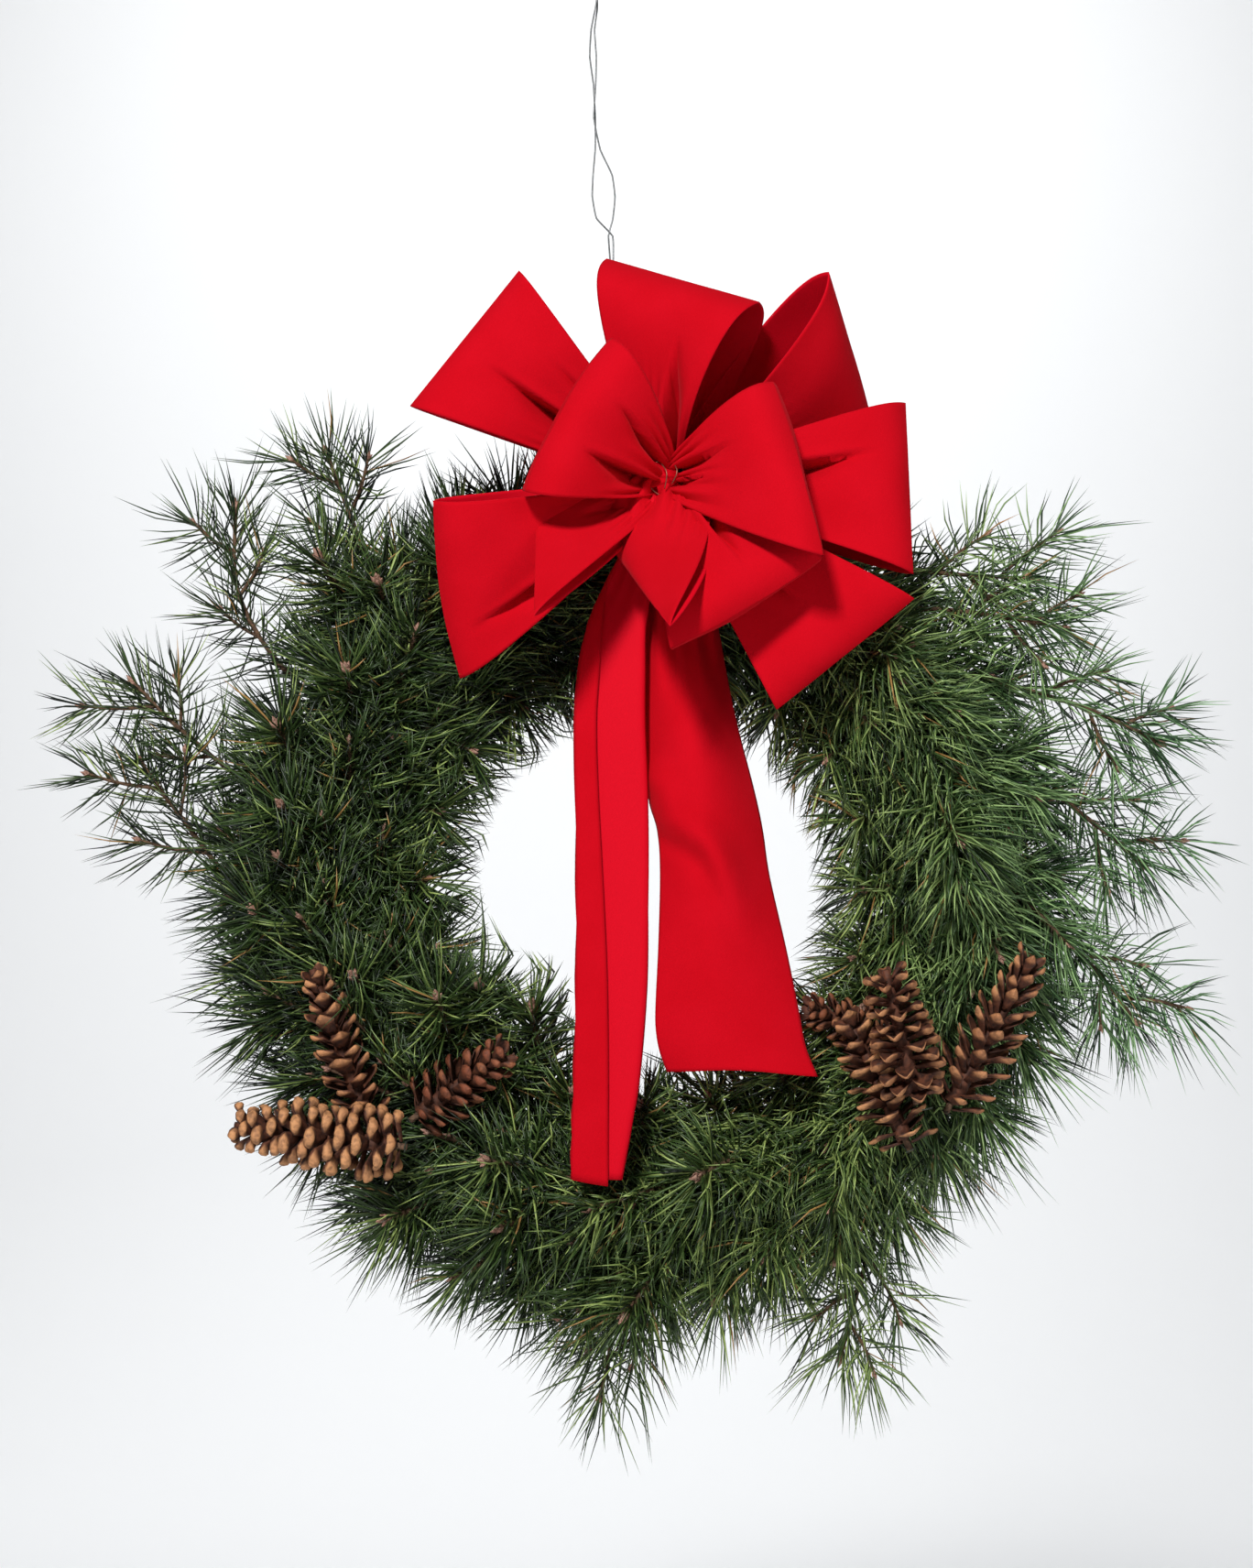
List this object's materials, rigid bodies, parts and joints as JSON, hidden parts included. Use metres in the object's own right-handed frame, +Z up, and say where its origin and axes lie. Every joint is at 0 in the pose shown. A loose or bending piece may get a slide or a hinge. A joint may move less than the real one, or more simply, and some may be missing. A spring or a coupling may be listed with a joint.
{
  "type": "fresh evergreen wreath",
  "caption": "Round wreath of long-needled pine with white-pine cones, a large red velvet bow with two long tails, and a twisted hanging wire.",
  "frame": {"origin": "the hanging point: the top of the inside of the hanging wire's loop", "axes": "+Z up, +X to the right as seen from the front, +Y towards the wall that the wreath hangs on"},
  "size_m": [0.7062, 0.2063, 0.9282],
  "materials": {
    "pine_foliage": "waxy green needles",
    "pine_cone": "dry open cone scales",
    "velvet_ribbon": "flocked velvet",
    "steel_wire": "dull green-grey florist wire",
    "galvanised_wire": "dull zinc"
  },
  "bodies": {
    "root": {"ring_frame": "steel_wire", "binding_wire": "steel_wire", "bow_wire": "steel_wire", "hanging_wire": "galvanised_wire", "bow_loops": "velvet_ribbon", "tail_left": "velvet_ribbon", "tail_right": "velvet_ribbon", "spray_01": "pine_foliage", "spray_02": "pine_foliage", "spray_03": "pine_foliage", "spray_04": "pine_foliage", "spray_05": "pine_foliage", "spray_06": "pine_foliage", "spray_07": "pine_foliage", "spray_08": "pine_foliage", "spray_09": "pine_foliage", "spray_10": "pine_foliage", "spray_11": "pine_foliage", "spray_12": "pine_foliage", "spray_13": "pine_foliage", "spray_14": "pine_foliage", "spray_15": "pine_foliage", "spray_16": "pine_foliage", "spray_17": "pine_foliage", "spray_18": "pine_foliage", "spray_19": "pine_foliage", "spray_20": "pine_foliage", "cone_1": "pine_cone", "cone_2": "pine_cone", "cone_3": "pine_cone", "cone_4": "pine_cone", "cone_5": "pine_cone", "cone_6": "pine_cone", "cone_7": "pine_cone", "cone_wire_1": "steel_wire", "cone_wire_2": "steel_wire", "cone_wire_3": "steel_wire", "cone_wire_4": "steel_wire", "cone_wire_5": "steel_wire", "cone_wire_6": "steel_wire", "cone_wire_7": "steel_wire"}
  },
  "joints": []
}
